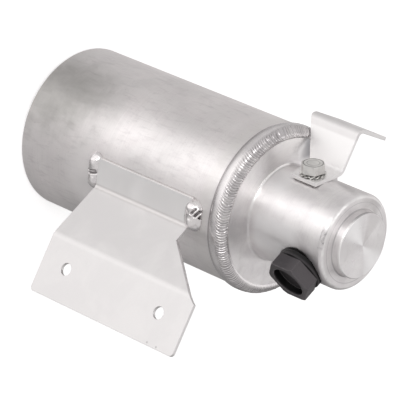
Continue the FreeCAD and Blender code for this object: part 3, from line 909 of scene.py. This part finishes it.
# %% The bead tree
# Radius and height, in metres, that the ripples point away from.
BEAD_MIDDLE = (0.0405, 0.1435)
bead, bead_in, bead_out, mesh, row, count, angle, split = rolled_tree(
    "rippled_bead", 2400, Ripples=188.0, Depth=0.00062, Curve=1.2, Band_Low=0.40,
    Band_High=0.95, Unevenness=0.0004, Soot=0.85, Heavy_Side=-1.9, Seed=2.0)
across = over(row, minus(count, 1.0))
ring_spot = combined(calc("COSINE", angle), calc("SINE", angle), bead_in["Seed"])
slow = noisy(ring_spot, 5.0, Detail=2.0)
quick = noisy(ring_spot, 26.0, Detail=2.0)
band_low = plus(bead_in["Band Low"], times(minus(slow, 0.5), 0.16))
in_band = over(minus(across, band_low), minus(bead_in["Band High"], band_low))
centred = minus(times(in_band, 2.0), 1.0)
phase = plus(times(angle, over(bead_in["Ripples"], math.tau)),
             times(centred, centred, bead_in["Curve"]), times(quick, 1.5))
tooth = calc("FRACT", phase)
own = add(bead, "ShaderNodeTexWhiteNoise", {"W": calc("FLOOR", phase)}, noise_dimensions="1D")
size = plus(0.65, times(own.outputs["Value"], 0.5))
shape = times(calc("POWER", minus(1.0, tooth), 0.8), ramp(tooth, 0.0, 0.22))
window = band(in_band, -0.08, 0.18, 0.82, 1.06)
heavy = ramp(calc("COSINE", minus(angle, bead_in["Heavy Side"])), -0.2, 0.95)
swell = times(minus(slow, 0.5), bead_in["Unevenness"], calc("SINE", times(across, math.pi)))
lift = plus(times(shape, window, size, bead_in["Depth"], plus(0.45, times(heavy, 0.55))), swell)
placed = add(bead, "GeometryNodeSetPosition",
             {"Geometry": mesh, "Position": round_axis_point(split["X"], angle, split["Z"])})
out_dir = xyz(vector("NORMALIZE", combined(minus(split["X"], BEAD_MIDDLE[0]), 0.0,
                                           minus(split["Z"], BEAD_MIDDLE[1]))))
shift = round_axis_point(times(out_dir["X"], lift), angle, times(out_dir["Z"], lift))
rippled = add(bead, "GeometryNodeSetPosition", {"Geometry": placed.outputs[0], "Offset": shift})
hollow = times(minus(1.0, shape), window)
toes = plus(ramp(across, 0.07, 0.0, 0.0, 0.9), ramp(across, 0.94, 1.0, 0.0, 0.35))
patchy = times(ramp(slow, 0.38, 0.60, 0.5, 1.0), plus(0.45, times(heavy, 0.6)))
burnt = times(heavy, heavy, ramp(across, 0.42, 0.10, 0.0, 0.3))
soot = most(times(hollow, patchy, bead_in["Soot"]), toes, burnt)
marked = add(bead, "GeometryNodeStoreNamedAttribute",
             {"Geometry": rippled.outputs[0], "Name": "soot", "Value": soot},
             data_type="FLOAT", domain="POINT")
close_tree(bead, marked, bead_in, bead_out)

# %% Girth bead
def spline_points(points, steps):
    """Even points on a smooth curve through a few points."""
    curve = bpy.data.curves.new("guide", "CURVE")
    curve.dimensions = "2D"
    curve.resolution_u = 24
    spline = curve.splines.new("BEZIER")
    spline.bezier_points.add(len(points) - 1)
    for spot, (r, z) in zip(spline.bezier_points, points):
        spot.co = (r, z, 0)
        spot.handle_left_type = spot.handle_right_type = "AUTO"
    guide = bpy.data.objects.new("guide", curve)
    mesh = bpy.data.meshes.new_from_object(guide)
    dense = [v.co.xy.copy() for v in mesh.vertices]
    reach = [0.0]
    for a, b in zip(dense, dense[1:]):
        reach.append(reach[-1] + (b - a).length)
    out = []
    k = 0
    for i in range(steps + 1):
        want = reach[-1] * i / steps
        while k < len(reach) - 2 and reach[k + 1] < want:
            k += 1
        part = (want - reach[k]) / (reach[k + 1] - reach[k])
        out.append(dense[k].lerp(dense[k + 1], min(part, 1.0)))
    bpy.data.objects.remove(guide)
    return out


bead_section = spline_points([
    (44.30, 139.9), (44.92, 140.35), (45.48, 141.7), (45.64, 143.6), (45.36, 145.6),
    (44.55, 147.5), (43.0, 148.95), (41.5, 149.7), (40.3, 149.72), (39.5, 149.45)], 30)
girth_bead = run_tree("girth_bead", bead, bead_section)
girth_bead.data.shade_smooth()
stand_for(girth_bead, "girth_weld", "weld")

# %% [markdown]
# ## Weld lumps on the bracket
#
# Two short welds hold the bracket. Each is a few puddles on top of one another, so each has
# bulges, and short dark furrows between the puddles. The imported model's plain lumps are
# remeshed finely, then pushed in and out along their normals: bulges and furrows are placed
# one by one, and noise takes away the evenness. How far a point was pushed in becomes its soot.

# %% Weld lumps
def joined_copy(node, name, flatten=False):
    """Copy of a node with its doubled points joined, and on request its flat areas too."""
    mesh = nodes[node].data.copy()
    work = bmesh.new()
    work.from_mesh(mesh)
    bmesh.ops.remove_doubles(work, verts=work.verts, dist=DOUBLED)
    if flatten:
        bmesh.ops.dissolve_limit(work, angle_limit=math.radians(0.5), verts=work.verts,
                                 edges=work.edges)
    work.to_mesh(mesh)
    work.free()
    mesh.materials.clear()
    return linked(name, mesh)


def fine_copy(node, name):
    """Even fine mesh over a node's own shape."""
    piece = joined_copy(node, name)
    even = piece.modifiers.new("even", "REMESH")
    even.mode = "VOXEL"
    even.voxel_size = 0.0003
    soft = piece.modifiers.new("soft", "SMOOTH")
    soft.factor = 0.5
    soft.iterations = 6
    return settle(piece)


# Bumps are placed on a wall of this radius, in metres.
WALL = 0.0465


def sculpt(piece, bumps, roughness, seed):
    """Pushes points along their normals: each bump runs from one spot of the wall to another
    and has a radius and a lift, all in metres."""
    mesh = piece.data
    normals = [v.normal.copy() for v in mesh.vertices]
    depths = []
    for v, normal in zip(mesh.vertices, normals):
        push = 0.0
        here = v.co.xy.normalized() * WALL
        here = Vector((here.x, here.y, v.co.z))
        for start, end, radius, lift in bumps:
            run = end - start
            part = (here - start).dot(run) / max(run.length_squared, 1e-12)
            nearest = start + run * min(max(part, 0.0), 1.0)
            away = (here - nearest).length / radius
            if away < 1.0:
                push += lift * (1.0 - away * away) ** 2
        push += roughness * noise.fractal(v.co * 260.0 + Vector((seed, seed, seed)), 1.0, 2.0, 3)
        depths.append(min(max(-push - 0.0001, 0.0) / 0.0007, 1.0))
        v.co += normal * push
    soot = mesh.attributes.new("soot", "FLOAT", "POINT")
    soot.data.foreach_set("value", depths)
    mesh.shade_smooth()


def bulge(angle, height, radius, lift):
    return furrow(angle, height, 0.0, 0.0, radius, lift)


def furrow(angle, height, turn, rise, radius, lift):
    """Long bump, from one spot to another that is turned and raised from it."""
    return (heading(angle) * WALL + Vector((0, 0, height)),
            heading(angle + turn) * WALL + Vector((0, 0, height + rise)), radius, lift)


lower_lump = fine_copy("bracket_weld_lower", "weld_lump_lower")
sculpt(lower_lump, [
    bulge(-71.0, 0.0572, 0.0042, 0.0006),
    furrow(-65.6, 0.0545, -1.2, 0.0050, 0.0008, -0.0008),
    furrow(-64.2, 0.0555, -1.2, 0.0045, 0.0009, -0.0010),
    furrow(-60.6, 0.0540, 3.0, 0.0016, 0.0008, -0.0007),
    bulge(-59.5, 0.0578, 0.0034, 0.0006)], 0.00020, 3.0)
stand_for(lower_lump, "bracket_weld_lower", "weld")
upper_lump = fine_copy("bracket_weld_upper", "weld_lump_upper")
sculpt(upper_lump, [
    bulge(-70.5, 0.1285, 0.0040, 0.0007),
    furrow(-66.9, 0.1306, -3.2, 0.0017, 0.0010, -0.0010),
    furrow(-65.8, 0.1327, -3.2, 0.0017, 0.0010, -0.0013),
    furrow(-64.7, 0.1347, -3.2, 0.0015, 0.0010, -0.0012),
    furrow(-63.8, 0.1262, 3.0, 0.0006, 0.0010, -0.0006),
    bulge(-59.0, 0.1295, 0.0042, 0.0007)], 0.00024, 9.0)
stand_for(upper_lump, "bracket_weld_upper", "weld")

# %% [markdown]
# ## Sheet parts, bolt and plugs
#
# These shapes are right as they are, but their edges are as sharp as a drawing's. No real
# edge is: shearing, plating and moulding all leave a small radius that shows as a thin
# line of light. Each part is copied, its loose triangles are joined, flat areas become one
# face again, and a narrow bevel goes on every real edge.

# %% Soft-edged copies
def soft_edged(node, name, slot, width):
    """Copy of a node with a narrow bevel on every real edge, in the node's place."""
    piece = joined_copy(node, name, flatten=True)
    edge = piece.modifiers.new("edge", "BEVEL")
    edge.width = width
    edge.segments = 3
    edge.limit_method = "ANGLE"
    edge.angle_limit = math.radians(32.0)
    edge.miter_outer = "MITER_ARC"
    settle(piece)
    stand_for(smooth(piece, 40.0), node, slot)


for row in (("tank_bracket", "tank_bracket_sheet", "bracket", 0.00035),
            ("head_bracket", "head_bracket_sheet", "bracket", 0.00035),
            ("bracket_bolt", "bolt_plated", "fastener", 0.0002),
            ("inlet_plug", "inlet_plug_moulded", "plug", 0.0003),
            ("outlet_plug", "outlet_plug_moulded", "plug", 0.0003)):
    soft_edged(*row)

# %% [markdown]
# ## The toothed washer
#
# The bolt is held by a spring washer with a ring of twisted teeth. It is the rolled grid
# again: between the teeth the rim is pulled in, and across each tooth the height runs from
# the bottom to the top, which is the twist that bites into bolt and bracket.

# %% The washer tree
toothed, toothed_in, toothed_out, mesh, _, _, angle, split = rolled_tree(
    "toothed_ring", 420, Teeth=14.0, Cut=0.0012, Twist=0.0007)
wave = calc("FRACT", times(angle, over(toothed_in["Teeth"], math.tau)))
tooth = band(wave, 0.06, 0.14, 0.62, 0.70)
rim = ramp(split["X"], 0.0050, 0.0062)
radius = minus(split["X"], times(minus(1.0, tooth), rim, toothed_in["Cut"]))
lean = times(minus(wave, 0.38), 1.6, tooth, rim)
height = plus(split["Z"], times(lean, toothed_in["Twist"]))
placed = add(toothed, "GeometryNodeSetPosition",
             {"Geometry": mesh, "Position": round_axis_point(radius, angle, height)})
close_tree(toothed, placed, toothed_in, toothed_out)

# %% Washer
ring_section = rounded([
    (3.4, 0.35, 0), (4.9, 0.35, 0), (5.6, 0.35, 0), (6.2, 0.35, 0), (6.85, 0.35, 0.2),
    (6.85, 1.15, 0.2), (6.2, 1.15, 0), (5.6, 1.15, 0), (4.9, 1.15, 0), (3.4, 1.15, 0),
    (3.4, 0.35, 0)], 3)
washer = run_tree("washer_toothed", toothed, ring_section)
washer.data.transform(Matrix.Translation(axis_point(BOLT, 27.7) * MM)
                      @ heading(BOLT[0]).to_track_quat("Z", "Y").to_matrix().to_4x4())
stand_for(smooth(outward(washer)), "bolt_washer", "fastener")

# %% [markdown]
# ## The parts inside
#
# The drying column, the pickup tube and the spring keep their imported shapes, and only take
# their finishes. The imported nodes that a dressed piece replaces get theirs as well, in case
# they are shown instead.

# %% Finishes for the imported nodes
wearers = {
    "tank": "tank_shell", "head": "head", "bracket": "tank_bracket head_bracket",
    "weld": "girth_weld bracket_weld_lower bracket_weld_upper",
    "fastener": "bolt_washer bracket_bolt", "plug": "inlet_plug outlet_plug",
    "seal": "inlet_plug_seal outlet_plug_seal pickup_seal", "tube": "pickup_tube",
    "plate": "lower_plate upper_plate", "pad": "lower_pad upper_pad",
    "desiccant": "desiccant_bed", "spring": "retaining_spring",
    "strainer": "strainer_cage", "gauze": "strainer_gauze",
}
for slot, names in wearers.items():
    for node in names.split():
        for material_slot in nodes[node].material_slots:
            material_slot.material = finishes[slot]
print(sum(len(names.split()) for names in wearers.values()), "packed nodes dressed")

# %% [markdown]
# ## Floor, world and lamps
#
# The picture was taken in white surroundings, so the floor is white and fades to pure white
# for the camera, while it still takes the object's soft shadow. The world is a plain studio:
# pale all round, darker on the side that the picture's lower edge faces. Two tall bright
# windows low in the world show as the long highlights down the tank and the neck, and a
# third, faint one lifts their dark side a little. Three lamps add to them: a key for the
# front, a rim for the far edge, and a small one overhead that draws the fan on the turned
# end face.

# %% Floor
floor_mesh = bpy.data.meshes.new("floor")
floor_mesh.from_pydata([(-4, -4, 0), (4, -4, 0), (4, 4, 0), (-4, 4, 0)], [], [(0, 1, 2, 3)])
floor = linked("floor", floor_mesh)
tree = start_material("floor", "floor_paper", Base_Color=(0.85, 0.85, 0.85, 1.0),
                      Roughness=0.9, Emission_Color=(1.0, 1.0, 1.0, 1.0))
seen = add(tree, "ShaderNodeLightPath").outputs["Is Camera Ray"]
set_look("floor", Emission_Strength=times(seen, 0.45))
floor_mesh.materials.append(finishes["floor"])
floor.visible_glossy = False

# %% World
world = bpy.data.worlds.new("studio")
bpy.context.scene.world = world
world.use_nodes = True
tree = world.node_tree
look = add(tree, "ShaderNodeTexCoord").outputs["Generated"]
DARK_SIDE = Vector((0.50, 0.60, -0.62)).normalized()
towards = vector("DOT_PRODUCT", look, tuple(DARK_SIDE))
level = ramp(towards, 0.0, 0.72, 0.73, 0.27)
level_look = vector("NORMALIZE", vector("MULTIPLY", look, (1.0, 1.0, 0.0)))
low_down = ramp(xyz(look)["Z"], 0.35, -0.10)


def tall_window(azimuth, half_width, strength):
    """Bright upright strip in the lower half of the world."""
    towards = vector("DOT_PRODUCT", level_look, tuple(heading(azimuth)))
    strip = ramp(towards, math.cos(math.radians(half_width)), 0.995)
    return times(strip, low_down, strength)


for window in ((-102.0, 44.0, 0.60), (112.0, 34.0, 0.30), (4.0, 32.0, 0.17)):
    level = plus(level, tall_window(*window))
level = most(level, add(tree, "ShaderNodeLightPath").outputs["Is Camera Ray"])
background = tree.nodes["Background"]
background.inputs["Color"].default_value = (1.0, 0.985, 0.985, 1.0)
tree.links.new(level, background.inputs["Strength"])
print("world ready")

# %% Lamps
def soft_lamp(name, azimuth, elevation, distance, width, height, watts, aim=AIM):
    """Rectangular lamp that faces the aim point from an azimuth and elevation."""
    a, e = math.radians(azimuth), math.radians(elevation)
    direction = Vector((math.cos(a) * math.cos(e), math.sin(a) * math.cos(e), math.sin(e)))
    data = bpy.data.lights.new(name, "AREA")
    data.shape = "RECTANGLE"
    data.size = width
    data.size_y = height
    data.energy = watts
    lamp = linked(name, data)
    lamp.location = aim + direction * distance
    lamp.rotation_mode = "QUATERNION"
    lamp.rotation_quaternion = direction.to_track_quat("Z", "Y")


soft_lamp("key", -104, 22, 0.75, 0.30, 0.40, 1.2, Vector((0, 0, 0.16)))
soft_lamp("rim", 112, 30, 1.4, 0.7, 0.9, 0.8)
soft_lamp("top", 141, 71, 1.6, 0.5, 0.5, 1.2)
print("lamps set")
